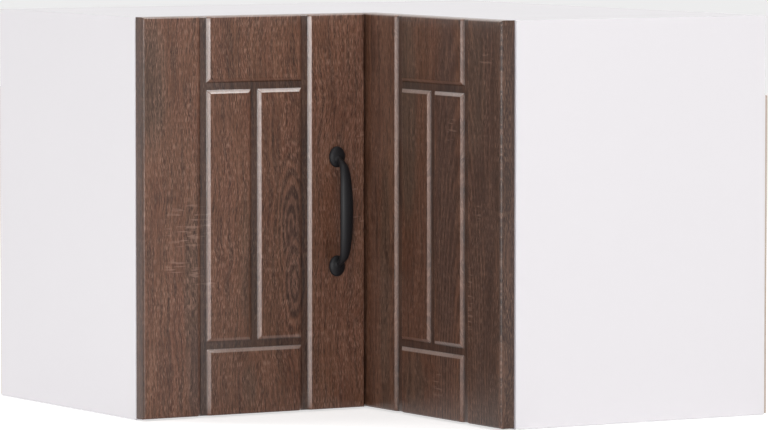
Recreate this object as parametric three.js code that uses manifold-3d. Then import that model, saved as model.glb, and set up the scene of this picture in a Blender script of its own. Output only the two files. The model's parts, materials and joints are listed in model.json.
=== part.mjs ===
// Corner wall cabinet with an L-shaped carcass and a pair of folding doors.
// Millimetres, +Z up. The cabinet's back corner points to +X +Y; the left door faces -Y
// and the right door faces -X. The origin is the bottom centre of the whole cabinet.
import * as THREE from 'three';
import { mergeVertices } from 'three/addons/utils/BufferGeometryUtils.js';
import Module from 'manifold-3d';

const wasm = await Module();
wasm.setup();

// ---- driving dimensions -------------------------------------------------------------
const wallLength = 567;        // carcass along each wall, back corner to end panel's outer face
const legDepth = 293;          // carcass depth of each leg, doors left out
const cabinetHeight = 400;
const boardThickness = 16;     // coated chipboard
const backThickness = 3;       // hardboard back
const bareBand = 80;           // left bare above the hardboard
const backInset = 1;           // hardboard's free edges inside the carcass edges
const seam = 0.2;              // glue line between boards and under screwed-on fittings

const railHeight = 96;
const postWidth = 60;

const shelfHeight = 192;       // underside of the shelf
const shelfSetback = 12;       // behind the carcass front
const shelfPlay = 1;           // round the shelf's ends and back

const doorThickness = 16;
const doorGap = 1.5;           // between a door's back and the carcass front
const doorReveal = 0;          // a door's outer edge inside the end panel's outer face
const doorBottom = 1.5;        // bottom of the doors above the carcass bottom
const doorTopDrop = 0;         // top of the doors below the carcass top
const doorMeet = 2.5;          // left door's inner end to the right door's front
const innerSetback = 8;        // right door's inner end in front of the left door's back
const foldInset = 3;           // fold axis in front of both doors' backs
const frontRound = 2.5;        // radius of a door's front edges
const backBevel = 1;           // bevel of a door's back edges

const grooveMargin = 69;       // centre of the outer grooves from a door's side edges
const grooveBand = 70;         // centre of the cross grooves from the top and bottom edges
const grooveWidth = 14;
const grooveFloor = 5.5;
const grooveDepth = 2.5;

const handleInset = 33.6;      // centre line from the left door's inner end
const handleRise = 199.5;      // its middle above the bottom of the doors
const handleSpacing = 110;     // between the two feet
const footWidth = 18;
const footHeight = 21.5;
const footThickness = 5;
const gripReach = 21;          // middle of the grip's centre line from the door's front
const grip = { neck: [6, 5], middle: [12, 7] };   // width and thickness of the bar

const hingeEnd = 88;           // hinges from a door's top and bottom edges
const pivotInset = 5.5;        // hinge axis from the left door's outer edge
const pivotDepth = 7.5;        // hinge axis in front of the left door's back
const cupRadius = 17.5;
const cupEdge = 2.8;           // cup from the door's outer edge
const cupDepth = 12;
const cupWall = 0.6;
const cupPlay = 0.15;
const flangeThickness = 0.6;
const flangeHeight = 56;
const flangeWidth = 16;
const flangeLip = 3;           // flange past the cup on the side away from the edge
const flangeEdge = 3.2;        // flange from the door's outer edge
const hingePinRadius = 0.9;
const eyeRadius = 1.7;
const hingePinLength = 16;
const hingeRunning = 0.08;     // radial clearance in the eyes
const lugReach = 2.4;          // of the lugs round the pin
const lugPlay = 0.4;           // between the cup's lugs and the hook
const armHeight = 6;           // of the hook that enters the cup
const barHeight = 12;          // of the part that lies on the plate
const armThickness = 3;
const armReach = 10.8;         // hook's upright from the hinge axis
const hookLow = 2.9;           // hook's front below the hinge axis
const hookBack = 0.9;          // its inner corner below the hinge axis
const hookNose = { top: 0.4, bottom: 1.6 };   // at the hinge axis
const crank = 4;               // length of the arm's bend towards the plate
const crankRoot = 2;           // hook's end before the bend
const armLength = 46;          // tail of the arm behind the carcass front
const plateSetback = 22;       // plate's front end behind the carcass front
const plateLength = 32;
const plateHeight = 44;
const plateThickness = 2;
const platePlay = 0.4;         // under the arm

const knuckleRadius = 2.5;
const foldPinRadius = 1.2;
const leafThickness = 1.2;
const leafWidth = 34;
const leafHeight = 50;
const knuckleCount = 3;
const knucklePlay = 0.4;       // between knuckles, along the pin
const leafOverlap = 0.5;       // leaf's edge inside the knuckle's radius
const webHalf = 1.3;           // of the web between a leaf and its knuckles
const pinHead = 1;

const camRadius = 7.35;
const camDepth = 12;
const camInset = 24;           // cam centre from the end panel's inner face
const camSetback = 37;         // cam centres from the front and back edges
const camPlay = 0.15;
const boltRadius = 3;
const boltThreadRadius = 2.3;
const boltThread = 10.5;
const boltPlay = 1;            // round the bolt in the panel's bore
const boltNeck = { length: 4, radius: 1.8 };
const camChannelPlay = 0.5;
const driveSlot = { arm: 4.4, half: 0.8, depth: 2 };

const shelfPinRadius = 2.5;
const shelfPinHold = 9;
const shelfPinNose = 7;
const shelfPinSetback = 45;
const shelfPinStandoff = 1;    // between the panel's face and the shelf's end

const hangerWidth = 17;
const hangerDepth = 30;
const hangerHeight = 58;
const hookThickness = 2;
const hookHeight = 10;
const hookTip = 24;            // height of the hook's upturned end
const hookDrop = 34;           // underside of the hook below the top panel

const screwRadius = 2;
const screwHeadRadius = 4;
const screwHead = 2;
const screwRim = 0.8;          // straight part of the head
const screwSlope = 0.7;        // share of the head's radius on top
const screwBite = 4;           // into a handle foot

const bumperRadius = 4;
const bumperThickness = 1.2;
const bumperTop = 0.8;         // share of its radius on top
const bumperEnd = 22;          // from the carcass top and bottom
const catchWidth = 12;         // away from the end panel
const catchDepth = 15;
const catchHeight = 45;
const catchCentre = 150;
const catchRecess = { depth: 1, share: 0.3 };   // shares of its width and height left as a rim
const strikeThickness = 1.2;
const strikeWidth = 14;
const strikeHeight = 40;

// ---- places worked out from them ----------------------------------------------------
const wall = (wallLength - backThickness) / 2;      // back edges of the panels, in x and in y
const outer = wall - wallLength;                    // outer faces of the two end panels
const inner = outer + boardThickness;
const front = wall - legDepth;                      // front edges of the panels
const topUnder = cabinetHeight - boardThickness;
const backTop = cabinetHeight - bareBand;
const doorBack = front - doorGap;
const doorFace = doorBack - doorThickness;
const doorOuter = outer + doorReveal;
const doorHeight = cabinetHeight - doorTopDrop - doorBottom;
const leftDoorEnd = doorFace - doorMeet;
const leftDoorWidth = leftDoorEnd - doorOuter;
const rightDoorEnd = doorBack - innerSetback;
const rightDoorWidth = rightDoorEnd - doorOuter;
const handleCentre = doorBottom + handleRise;
const hingeAxis = new THREE.Vector3(doorOuter + pivotInset, doorBack - pivotDepth, 0);
const foldAxis = new THREE.Vector3(doorBack - foldInset, doorBack - foldInset, 0);
const hingeHeights = { lower: doorBottom + hingeEnd, upper: doorBottom + doorHeight - hingeEnd };
const railBottom = topUnder - railHeight;
const postEdge = wall - postWidth;
const railFace = wall - boardThickness;

// ---- materials ----------------------------------------------------------------------
function finish(color, roughness, metalness = 0) {
  return new THREE.MeshStandardMaterial({ color, roughness, metalness });
}
const whiteBoard = finish(0xe9e8ea, 0.45);
const hardboard = finish(0xb9a592, 0.8);
const oakFoil = finish(0x5c463b, 0.55);
const blackIron = finish(0x1c1d20, 0.5, 0.3);
const steel = finish(0xb8babd, 0.35, 0.9);
const zinc = finish(0x9fa1a3, 0.45, 0.8);
const whitePlastic = finish(0xededed, 0.4);
const clearPlastic = finish(0xd8dad8, 0.3);

// ---- shapes -------------------------------------------------------------------------
function toSolid(geometry) {
  geometry.deleteAttribute('normal');
  geometry.deleteAttribute('uv');
  const welded = mergeVertices(geometry, 1e-5);
  const solid = new wasm.Manifold(new wasm.Mesh({
    numProp: 3,
    vertProperties: welded.attributes.position.array,
    triVerts: new Uint32Array(welded.index.array),
  }));
  return solid;
}

function toGeometry(solid) {
  const mesh = solid.getMesh();
  const geometry = new THREE.BufferGeometry();
  geometry.setAttribute('position', new THREE.BufferAttribute(new Float32Array(mesh.vertProperties), 3));
  geometry.setIndex(new THREE.BufferAttribute(new Uint32Array(mesh.triVerts), 1));
  geometry.computeVertexNormals();
  return geometry;
}

// A block from its lowest and highest corners.
function block(low, high) {
  const size = high.map((value, i) => value - low[i]);
  const middle = high.map((value, i) => (value + low[i]) / 2);
  return toSolid(new THREE.BoxGeometry(...size).translate(...middle));
}

function extrude(points, depth) {
  const outline = new THREE.Shape(points.map(([a, b]) => new THREE.Vector2(a, b)));
  return new THREE.ExtrudeGeometry(outline, { depth, bevelEnabled: false });
}

// An outline of x and y points, raised from one height to another.
function plan(points, low, high) {
  return toSolid(extrude(points, high - low).translate(0, 0, low));
}

// An outline of y and z points, run from one x to another.
function section(points, start, end) {
  const turn = new THREE.Matrix4().makeBasis(
    new THREE.Vector3(0, 1, 0), new THREE.Vector3(0, 0, 1), new THREE.Vector3(1, 0, 0));
  return toSolid(extrude(points, end - start).applyMatrix4(turn).translate(start, 0, 0));
}

const upright = new THREE.Vector3(0, 1, 0);

// Puts a shape made along +Y on the line from one point to another.
function along(geometry, from, to) {
  const start = new THREE.Vector3(...from);
  const way = new THREE.Vector3(...to).sub(start).normalize();
  const turn = new THREE.Quaternion().setFromUnitVectors(upright, way);
  return toSolid(geometry.applyQuaternion(turn).translate(start.x, start.y, start.z));
}

function rod(radius, from, to, sides = 16) {
  const length = new THREE.Vector3(...from).distanceTo(new THREE.Vector3(...to));
  const round = new THREE.CylinderGeometry(radius, radius, length, sides).translate(0, length / 2, 0);
  return along(round, from, to);
}

// A turned piece from its profile of radius and distance points.
function turned(profile, from, to, sides = 16) {
  const points = profile.map(([radius, distance]) => new THREE.Vector2(radius, distance));
  return along(new THREE.LatheGeometry(points, sides), from, to);
}

function joined(...solids) {
  return solids.reduce((sum, solid) => sum.add(solid));
}

function cut(solid, ...tools) {
  return tools.reduce((rest, tool) => rest.subtract(tool), solid);
}

// Adds a solid, modelled round its own origin, as a named mesh at a place in the cabinet.
function add(group, name, material, solid, place = [0, 0, 0], turn = 0) {
  const mesh = new THREE.Mesh(toGeometry(solid), material);
  mesh.name = name;
  mesh.position.set(...place).sub(group.userData.origin);
  mesh.rotation.z = turn;
  group.add(mesh);
}

function groupAt(origin, parent) {
  const group = new THREE.Group();
  group.userData.origin = origin;
  group.position.copy(origin);
  if (parent) {
    group.position.sub(parent.userData.origin);
    parent.add(group);
  }
  return group;
}

const cabinet = groupAt(new THREE.Vector3());
const leftLeaf = groupAt(hingeAxis, cabinet);
const rightLeaf = groupAt(foldAxis, leftLeaf);

// The two legs are alike: swap turns a plan point of the left leg into one of the right leg.
const swap = ([x, y, ...rest]) => [y, x, ...rest];
const legs = [
  { side: 'left', at: (point) => point, turn: 0 },
  { side: 'right', at: swap, turn: -Math.PI / 2 },
];
const depthMarks = { front: front + camSetback, back: wall - camSetback };
const levels = {
  bottom: { face: boardThickness, into: -1, middle: boardThickness / 2 },
  top: { face: topUnder, into: 1, middle: cabinetHeight - boardThickness / 2 },
};

// ---- carcass boards -----------------------------------------------------------------
function shelfPinPlaces() {
  const height = shelfHeight - seam - shelfPinRadius;
  const marks = [front + shelfSetback + shelfPinSetback, wall - shelfPinSetback];
  return { height, marks, post: (postEdge + wall) / 2 };
}

function endPanel(at) {
  const sizes = { low: at([outer, front]), high: at([inner, wall]) };
  let panel = block([...sizes.low, 0], [...sizes.high, cabinetHeight]);
  const pins = shelfPinPlaces();
  for (const mark of pins.marks) {
    const mouth = [...at([inner + 1, mark]), pins.height];
    const end = [...at([inner - shelfPinHold - seam, mark]), pins.height];
    panel = cut(panel, rod(shelfPinRadius + camPlay, mouth, end));
  }
  for (const level of Object.values(levels)) {
    for (const mark of Object.values(depthMarks)) {
      const mouth = [...at([inner + 1, mark]), level.middle];
      const end = [...at([inner - boltThread - seam, mark]), level.middle];
      panel = cut(panel, rod(boltThreadRadius + camPlay, mouth, end));
    }
  }
  return panel;
}

// The top or the bottom: one L-shaped board between the end panels.
function cornerBoard(level) {
  const end = inner + seam;
  const outline = [[end, wall], [end, front], [front, front], [front, end], [wall, end], [wall, wall]];
  const low = level.into > 0 ? level.face : level.face - boardThickness;
  let board = plan(outline, low, low + boardThickness);
  for (const { at } of legs) {
    for (const mark of Object.values(depthMarks)) {
      const centre = at([inner + camInset, mark]);
      const pocketEnd = level.face + level.into * (camDepth + seam);
      const pocket = rod(camRadius + camPlay, [...centre, level.face - level.into], [...centre, pocketEnd], 24);
      const mouth = [...at([inner - 1, mark]), level.middle];
      const bore = rod(boltRadius + boltPlay, mouth, [...centre, level.middle]);
      board = cut(board, pocket, bore);
    }
  }
  return board;
}

function shelfBoard() {
  const end = inner + shelfPlay;
  const edge = front + shelfSetback;
  const back = wall - shelfPlay;
  const notch = postEdge - shelfPlay;
  const notchBack = railFace - shelfPlay;
  const outline = [
    [end, back], [end, edge], [edge, edge], [edge, end], [back, end],
    [back, notchBack], [notch, notchBack], [notch, back],
  ];
  return plan(outline, shelfHeight, shelfHeight + boardThickness);
}

function hookSlot(at) {
  const middle = inner + seam + hangerWidth / 2;
  const half = hookThickness / 2 + seam;
  const bottom = topUnder - hookDrop - seam;
  const low = at([middle - half, railFace - 1]);
  const high = at([middle + half, wall + 1]);
  return block([...low, bottom], [...high, bottom + hookTip + 2 * seam]);
}

function rail(at, end) {
  const low = at([inner + seam, railFace]);
  const high = at([end - seam, wall]);
  return cut(block([...low, railBottom], [...high, topUnder - seam]), hookSlot(at));
}

function cornerPost() {
  const post = block(
    [postEdge, railFace, boardThickness + seam], [wall, wall, topUnder - seam]);
  const pins = shelfPinPlaces();
  const hole = rod(shelfPinRadius + camPlay,
    [pins.post, railFace - 1, pins.height], [pins.post, railFace + shelfPinHold + seam, pins.height]);
  return cut(post, hole);
}

function addBoards() {
  for (const { side, at } of legs) add(cabinet, `${side}_end_panel`, whiteBoard, endPanel(at));
  for (const [name, level] of Object.entries(levels)) {
    add(cabinet, `${name}_panel`, whiteBoard, cornerBoard(level));
  }
  add(cabinet, 'shelf', whiteBoard, shelfBoard());
  add(cabinet, 'corner_post', whiteBoard, cornerPost());
  add(cabinet, 'left_back_rail', whiteBoard, rail(legs[0].at, postEdge));
  add(cabinet, 'right_back_rail', whiteBoard, rail(legs[1].at, railFace));
  const free = outer + backInset;
  const leftBack = block(
    [free, wall + seam, backInset], [wall, wall + backThickness, backTop]);
  const rightBack = block(
    [wall + seam, free, backInset], [wall + backThickness, wall + backThickness, backTop]);
  add(cabinet, 'left_back_board', hardboard, leftBack);
  add(cabinet, 'right_back_board', hardboard, rightBack);
}

// ---- joints between the boards ------------------------------------------------------
function camDisc() {
  const disc = rod(camRadius, [0, 0, 0], [0, 0, camDepth], 24);
  const middle = camDepth - boardThickness / 2;
  const channel = rod(boltRadius + camChannelPlay, [-2 * camRadius, 0, middle], [boltRadius, 0, middle]);
  const { arm, half, depth } = driveSlot;
  const slot = joined(
    block([-arm, -half, camDepth - depth], [arm, half, camDepth + 1]),
    block([-half, -arm, camDepth - depth], [half, arm, camDepth + 1]));
  return cut(disc, channel, slot);
}

function camBolt(from, to) {
  const neck = boltThread + camInset - boltRadius;
  const end = boltThread + camInset + boltRadius / 2;
  return turned([
    [0, 0], [boltThreadRadius, 0], [boltThreadRadius, boltThread], [boltRadius, boltThread + seam],
    [boltRadius, neck - boltNeck.length], [boltNeck.radius, neck - boltNeck.length],
    [boltNeck.radius, neck], [boltRadius, neck], [boltRadius, end], [0, end]], from, to, 12);
}

function addBoardJoints() {
  for (const [levelName, level] of Object.entries(levels)) {
    for (const { side, at } of legs) {
      for (const [markName, mark] of Object.entries(depthMarks)) {
        const label = `${levelName}_${side}_${markName}`;
        const centre = at([inner + camInset, mark]);
        const disc = level.into < 0 ? camDisc() : camDisc().rotate([180, 0, 0]);
        const floor = level.face + level.into * camDepth;
        add(cabinet, `cam_${label}`, zinc, disc, [...centre, floor], side === 'left' ? 0 : Math.PI / 2);
        const tip = [...at([inner - boltThread, mark]), level.middle];
        add(cabinet, `cam_bolt_${label}`, steel, camBolt(tip, [...centre, level.middle]));
      }
    }
  }
}

function shelfPin(from, to) {
  const length = shelfPinHold + shelfPinStandoff + shelfPinNose;
  return turned([[0, 0], [shelfPinRadius, 0], [shelfPinRadius, length], [0, length]], from, to, 12);
}

function addShelfPins() {
  const pins = shelfPinPlaces();
  for (const { side, at } of legs) {
    pins.marks.forEach((mark, i) => {
      const name = `shelf_pin_${side}_${i ? 'back' : 'front'}`;
      const from = [...at([inner - shelfPinHold, mark]), pins.height];
      const to = [...at([inner, mark]), pins.height];
      add(cabinet, name, steel, shelfPin(from, to));
    });
  }
  const from = [pins.post, railFace + shelfPinHold, pins.height];
  add(cabinet, 'shelf_pin_corner', steel, shelfPin(from, [pins.post, railFace, pins.height]));
}

// The wall hangers sit in the top corners; their hooks reach back through the rails.
function addHangers() {
  const half = hangerWidth / 2;
  const slit = hookThickness / 2 + seam;
  const arm = hangerHeight - hookDrop;
  for (const { side, at, turn } of legs) {
    const housing = cut(
      block([-half, -hangerDepth, 0], [half, 0, hangerHeight]),
      block([-slit, -hangerDepth / 2 - seam, arm - seam], [slit, 1, arm + hookHeight + seam]));
    const middle = inner + seam + half;
    const place = [...at([middle, railFace - seam]), topUnder - hangerHeight - seam];
    add(cabinet, `wall_hanger_${side}`, whitePlastic, housing, place, turn);
    const reach = boardThickness + backThickness - 2 * seam;
    const hook = joined(
      block([-hookThickness / 2, -hangerDepth / 2, 0], [hookThickness / 2, reach, hookHeight]),
      block([-hookThickness / 2, reach - hookThickness, 0], [hookThickness / 2, reach, hookTip - 2 * seam]));
    const hookPlace = [...at([middle, railFace]), topUnder - hookDrop];
    add(cabinet, `wall_hook_${side}`, steel, hook, hookPlace, turn);
  }
}

// ---- doors --------------------------------------------------------------------------
// The edge profile of a board that is rounded in front and bevelled behind, as a list of
// [along, depth] points; depth is 0 at the back and -doorThickness at the front.
function roundedEdge(length) {
  const points = [[backBevel, 0], [0, -backBevel]];
  const steps = 4;
  for (let i = 0; i <= steps; i += 1) {
    const angle = (Math.PI / 2) * (i / steps);
    points.push([
      frontRound * (1 - Math.cos(angle)),
      -doorThickness + frontRound * (1 - Math.sin(angle))]);
  }
  const mirrored = points.map(([a, b]) => [length - a, b]).reverse();
  return [...points, ...mirrored];
}

// A groove's section, open past the door's face; depth values as above.
function grooveSection(centre) {
  const face = -doorThickness;
  const half = grooveWidth / 2;
  const floor = grooveFloor / 2;
  return [
    [centre - half, face - 1], [centre + half, face - 1], [centre + half, face],
    [centre + floor, face + grooveDepth], [centre - floor, face + grooveDepth], [centre - half, face]];
}

// A door in its own frame: x across from one side edge, y from the back face, z up.
function doorBoard(width) {
  const across = plan(roundedEdge(width), 0, doorHeight);
  const upwards = section(roundedEdge(doorHeight).map(([a, b]) => [b, a]), 0, width);
  const bands = [grooveBand, doorHeight - grooveBand];
  const margins = [grooveMargin, width - grooveMargin];
  const grooves = [
    ...margins.map((x) => plan(grooveSection(x), -1, doorHeight + 1)),
    plan(grooveSection(width / 2), ...bands),
    ...bands.map((z) => section(grooveSection(z).map(([a, b]) => [b, a]), ...margins)),
  ];
  return cut(across.intersect(upwards), ...grooves);
}

function addDoors() {
  const handleX = leftDoorWidth - handleInset;
  const back = cupEdge + cupRadius;
  let left = doorBoard(leftDoorWidth);
  for (const height of Object.values(hingeHeights)) {
    const z = height - doorBottom;
    left = cut(left, rod(cupRadius + cupPlay, [back, 1, z], [back, -cupDepth - seam, z], 32));
  }
  for (const end of [-1, 1]) {
    const z = handleCentre - doorBottom + end * handleSpacing / 2;
    left = cut(left, rod(screwRadius + seam, [handleX, 1, z], [handleX, -doorThickness - 1, z], 12));
  }
  add(leftLeaf, 'left_door', oakFoil, left, [doorOuter, doorBack, doorBottom]);
  const right = doorBoard(rightDoorWidth);
  add(rightLeaf, 'right_door', oakFoil, right, [doorBack, rightDoorEnd, doorBottom], -Math.PI / 2);
}

// ---- handle -------------------------------------------------------------------------
// The bar from foot to foot: centre-line points as [distance from the door, height].
function gripPath() {
  const half = handleSpacing / 2;
  const side = [
    [footThickness / 2, half], [gripReach * 0.48, half * 0.91], [gripReach * 0.81, half * 0.75],
    [gripReach * 0.93, half * 0.5]];
  const upper = side.map(([rise, z]) => new THREE.Vector3(0, -rise, z));
  const lower = side.map(([rise, z]) => new THREE.Vector3(0, -rise, -z)).reverse();
  return new THREE.CatmullRomCurve3([...upper, new THREE.Vector3(0, -gripReach, 0), ...lower]);
}

// Oval rings along the path, widest in the middle, closed at both ends.
function gripBar(stations = 32, sides = 16) {
  const path = gripPath();
  const across = new THREE.Vector3(1, 0, 0);
  const points = [];
  const triangles = [];
  for (let i = 0; i <= stations; i += 1) {
    const share = i / stations;
    const swell = Math.sin(Math.PI * share) ** 2;
    const [width, thickness] = [0, 1].map((k) => grip.neck[k] + (grip.middle[k] - grip.neck[k]) * swell);
    const centre = path.getPointAt(share);
    const out = path.getTangentAt(share).cross(across);
    for (let j = 0; j < sides; j += 1) {
      const angle = (2 * Math.PI * j) / sides;
      const point = centre.clone()
        .addScaledVector(across, Math.cos(angle) * width / 2)
        .addScaledVector(out, Math.sin(angle) * thickness / 2);
      points.push(...point);
      const next = (j + 1) % sides;
      const [a, b, c, d] = [i * sides + j, i * sides + next, (i + 1) * sides + j, (i + 1) * sides + next];
      if (i < stations) triangles.push(a, b, c, b, d, c);
    }
  }
  const last = stations * sides;
  for (let j = 1; j < sides - 1; j += 1) triangles.push(0, j + 1, j, last, last + j, last + j + 1);
  const bar = new THREE.BufferGeometry();
  bar.setAttribute('position', new THREE.BufferAttribute(new Float32Array(points), 3));
  bar.setIndex(triangles);
  return toSolid(bar);
}

function addHandle() {
  const x = leftDoorEnd - handleInset;
  let handle = gripBar();
  for (const end of [-1, 1]) {
    const z = end * handleSpacing / 2;
    const dome = new THREE.LatheGeometry([
      [0, 0], [1, 0], [1, 0.35], [0.8, 0.8], [0.45, 1], [0, 1.05],
    ].map(([radius, rise]) => new THREE.Vector2(radius * footWidth / 2, rise * footThickness)), 20);
    handle = joined(handle, along(dome.scale(1, 1, footHeight / footWidth), [0, 0, z], [0, -1, z]));
  }
  for (const end of [-1, 1]) {
    const z = end * handleSpacing / 2;
    handle = cut(handle, rod(screwRadius + seam, [0, 1, z], [0, -screwBite - seam, z], 12));
  }
  add(leftLeaf, 'door_handle', blackIron, handle, [x, doorFace - seam, handleCentre]);
  const length = doorThickness + screwBite;
  for (const [name, end] of [['lower', -1], ['upper', 1]]) {
    const z = handleCentre + end * handleSpacing / 2;
    const screw = turned([
      [0, 0], [screwHeadRadius * screwSlope, 0], [screwHeadRadius, screwRim], [screwHeadRadius, screwHead],
      [screwRadius, screwHead], [screwRadius, screwHead + length], [0, screwHead + length],
    ], [0, screwHead + seam, 0], [0, -length, 0], 12);
    add(leftLeaf, `handle_screw_${name}`, steel, screw, [x, doorBack, z]);
  }
}

// ---- hinges of the left door --------------------------------------------------------
// All four pieces are drawn round the hinge axis, with x away from the end panel's outer face.
const cupX = cupEdge + cupRadius - pivotInset;
const carcassX = inner - hingeAxis.x;
const frontY = front - hingeAxis.y;

function hingeCup() {
  const rim = pivotDepth + seam;
  const top = rim + flangeThickness;
  const bottom = pivotDepth - cupDepth;
  const round = (radius, low, high) => rod(radius, [cupX, low, 0], [cupX, high, 0], 32);
  const half = flangeHeight / 2;
  const free = flangeEdge - pivotInset;
  const flange = joined(
    block([free, rim, -cupRadius], [cupX + cupRadius + flangeLip, top, cupRadius]),
    block([cupX - flangeWidth / 2, rim, -half], [cupX + flangeWidth / 2, top, half]));
  const lugStart = armHeight / 2 + lugPlay;
  const lugs = [-cupRadius, lugStart].map(
    (low) => block([-lugReach, bottom, low], [lugReach, lugReach, low + cupRadius - lugStart]));
  const hollow = cut(round(cupRadius - cupWall, bottom + cupWall, top + 1), ...lugs);
  const bore = rod(hingePinRadius + hingeRunning, [0, 0, -cupRadius], [0, 0, cupRadius]);
  const rimTrim = block([cupX - 2 * cupRadius, pivotDepth - seam, -half], [free, top + 1, half]);
  const body = joined(round(cupRadius, bottom, top), flange);
  return cut(body, hollow, bore, rimTrim);
}

function hingeArm() {
  const back = armReach + armThickness;
  const behind = frontY + armLength;
  const step = frontY + plateSetback - crank;
  const lift = carcassX + seam + plateThickness + seam + platePlay;
  const hookEnd = step - crank - crankRoot;
  const hook = plan([
    [0, hookNose.top], [armReach, -hookBack], [armReach, hookEnd], [back, hookEnd],
    [back, -hookLow], [0, -hookNose.bottom]], -armHeight / 2, armHeight / 2);
  const eye = rod(eyeRadius, [0, 0, -armHeight / 2], [0, 0, armHeight / 2]);
  const bar = plan([
    [armReach, frontY - 1], [armReach, step - crank], [lift, step], [lift, behind],
    [lift + armThickness, behind], [lift + armThickness, step - crankRoot], [back, frontY - 1]],
  -barHeight / 2, barHeight / 2);
  const bore = rod(hingePinRadius + hingeRunning, [0, 0, -armHeight], [0, 0, armHeight]);
  return cut(joined(hook, bar, eye), bore);
}

function hingePlate() {
  const start = frontY + plateSetback;
  const low = carcassX + seam;
  return block(
    [low, start, -plateHeight / 2], [low + plateThickness, start + plateLength, plateHeight / 2]);
}

function addHinges() {
  const pin = rod(hingePinRadius, [0, 0, -hingePinLength / 2], [0, 0, hingePinLength / 2]);
  for (const [name, height] of Object.entries(hingeHeights)) {
    const place = [hingeAxis.x, hingeAxis.y, height];
    add(leftLeaf, `hinge_cup_${name}`, steel, hingeCup(), place);
    add(leftLeaf, `hinge_pin_${name}`, steel, pin, place);
    add(cabinet, `hinge_arm_${name}`, steel, hingeArm(), place);
    add(cabinet, `hinge_plate_${name}`, steel, hingePlate(), place);
  }
}

// ---- fold hinges between the doors --------------------------------------------------
// A leaf in the frame of its knuckle, lying on the face at y = mount and running to -x.
function foldLeaf(outerKnuckles) {
  const mount = foldInset + seam;
  const pitch = leafHeight / knuckleCount;
  const reach = knuckleRadius - leafOverlap;
  let leaf = block(
    [-reach - leafWidth, mount, -leafHeight / 2], [-reach, mount + leafThickness, leafHeight / 2]);
  for (let i = 0; i < knuckleCount; i += 1) {
    const mine = (i % 2 === 0) === outerKnuckles;
    const low = -leafHeight / 2 + i * pitch + (i ? knucklePlay / 2 : 0);
    const high = low + pitch - (i && i < knuckleCount - 1 ? knucklePlay : knucklePlay / 2);
    if (mine) {
      const web = plan([
        [-reach - 1, mount], [-reach - 1, mount + leafThickness], [webHalf, mount + leafThickness],
        [webHalf, 0], [-webHalf, 0], [-webHalf, mount]], low, high);
      leaf = joined(leaf, web, rod(knuckleRadius, [0, 0, low], [0, 0, high], 20));
    }
  }
  return cut(leaf, rod(foldPinRadius + hingeRunning, [0, 0, -leafHeight], [0, 0, leafHeight]));
}

function addFoldHinges() {
  const half = leafHeight / 2;
  const pin = joined(
    rod(foldPinRadius, [0, 0, -half - pinHead], [0, 0, half + seam]),
    rod(knuckleRadius, [0, 0, half + seam], [0, 0, half + seam + pinHead], 20));
  // the right leaf is the same stamping turned over, so its flat lies on the right door's back
  const rightShape = foldLeaf(false).mirror([1, -1, 0]);
  for (const [name, height] of Object.entries(hingeHeights)) {
    const place = [foldAxis.x, foldAxis.y, height];
    add(leftLeaf, `fold_leaf_left_${name}`, steel, foldLeaf(true), place);
    add(leftLeaf, `fold_pin_${name}`, steel, pin, place);
    add(rightLeaf, `fold_leaf_right_${name}`, steel, rightShape, place);
  }
}

// ---- catch and bumpers --------------------------------------------------------------
function addCatch() {
  const edge = outer + boardThickness / 2;
  const bumper = turned([
    [0, 0], [bumperRadius, 0], [bumperRadius * bumperTop, bumperThickness - seam],
    [0, bumperThickness - seam]], [0, 0, 0], [-1, 0, 0], 16);
  const ends = { lower: bumperEnd, upper: cabinetHeight - bumperEnd };
  for (const [name, height] of Object.entries(ends)) {
    add(cabinet, `door_bumper_${name}`, clearPlastic, bumper, [front - seam, edge, height]);
  }
  const low = inner + seam;
  const { depth, share } = catchRecess;
  const recessHalf = catchHeight / 2 - catchWidth * share;
  const body = cut(
    block([0, 0, -catchHeight / 2], [catchDepth, catchWidth, catchHeight / 2]),
    block([-1, catchWidth * share, -recessHalf], [depth, catchWidth * (1 - share), recessHalf]));
  add(cabinet, 'magnetic_catch', whitePlastic, body, [front, low, catchCentre]);
  const strike = block(
    [-strikeThickness - seam, -strikeWidth / 2, -strikeHeight / 2],
    [-seam, strikeWidth / 2, strikeHeight / 2]);
  const place = [doorBack + strikeThickness + 2 * seam, low + catchWidth / 2, catchCentre];
  add(rightLeaf, 'catch_strike', steel, strike, place);
}

addBoards();
addBoardJoints();
addShelfPins();
addHangers();
addDoors();
addHandle();
addHinges();
addFoldHinges();
addCatch();

export default cabinet;
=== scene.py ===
import json
import math

import bmesh
import bpy
import numpy as np
from mathutils import Matrix, Vector


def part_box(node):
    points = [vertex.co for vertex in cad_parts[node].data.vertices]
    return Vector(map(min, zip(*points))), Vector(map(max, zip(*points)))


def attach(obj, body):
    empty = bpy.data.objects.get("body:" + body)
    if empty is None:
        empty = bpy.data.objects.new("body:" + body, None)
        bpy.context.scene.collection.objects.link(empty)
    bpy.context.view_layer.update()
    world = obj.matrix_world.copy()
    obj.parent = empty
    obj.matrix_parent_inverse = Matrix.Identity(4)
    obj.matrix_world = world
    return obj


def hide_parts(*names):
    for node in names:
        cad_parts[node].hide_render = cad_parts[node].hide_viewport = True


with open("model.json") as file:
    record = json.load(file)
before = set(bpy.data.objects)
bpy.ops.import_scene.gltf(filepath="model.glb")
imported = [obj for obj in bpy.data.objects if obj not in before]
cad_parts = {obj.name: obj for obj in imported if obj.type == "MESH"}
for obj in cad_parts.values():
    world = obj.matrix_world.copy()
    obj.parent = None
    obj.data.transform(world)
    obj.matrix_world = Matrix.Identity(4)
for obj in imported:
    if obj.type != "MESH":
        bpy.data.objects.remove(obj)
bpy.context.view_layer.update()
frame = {"nodes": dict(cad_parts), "record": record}
nodes = frame["nodes"]
print("frame loaded:", len(nodes), "nodes")

mm = 0.001


# small helpers for node trees

def addNode(tree, kind, **values):
    node = tree.nodes.new(kind)
    for key, value in values.items():
        setattr(node, key, value)
    return node


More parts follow.
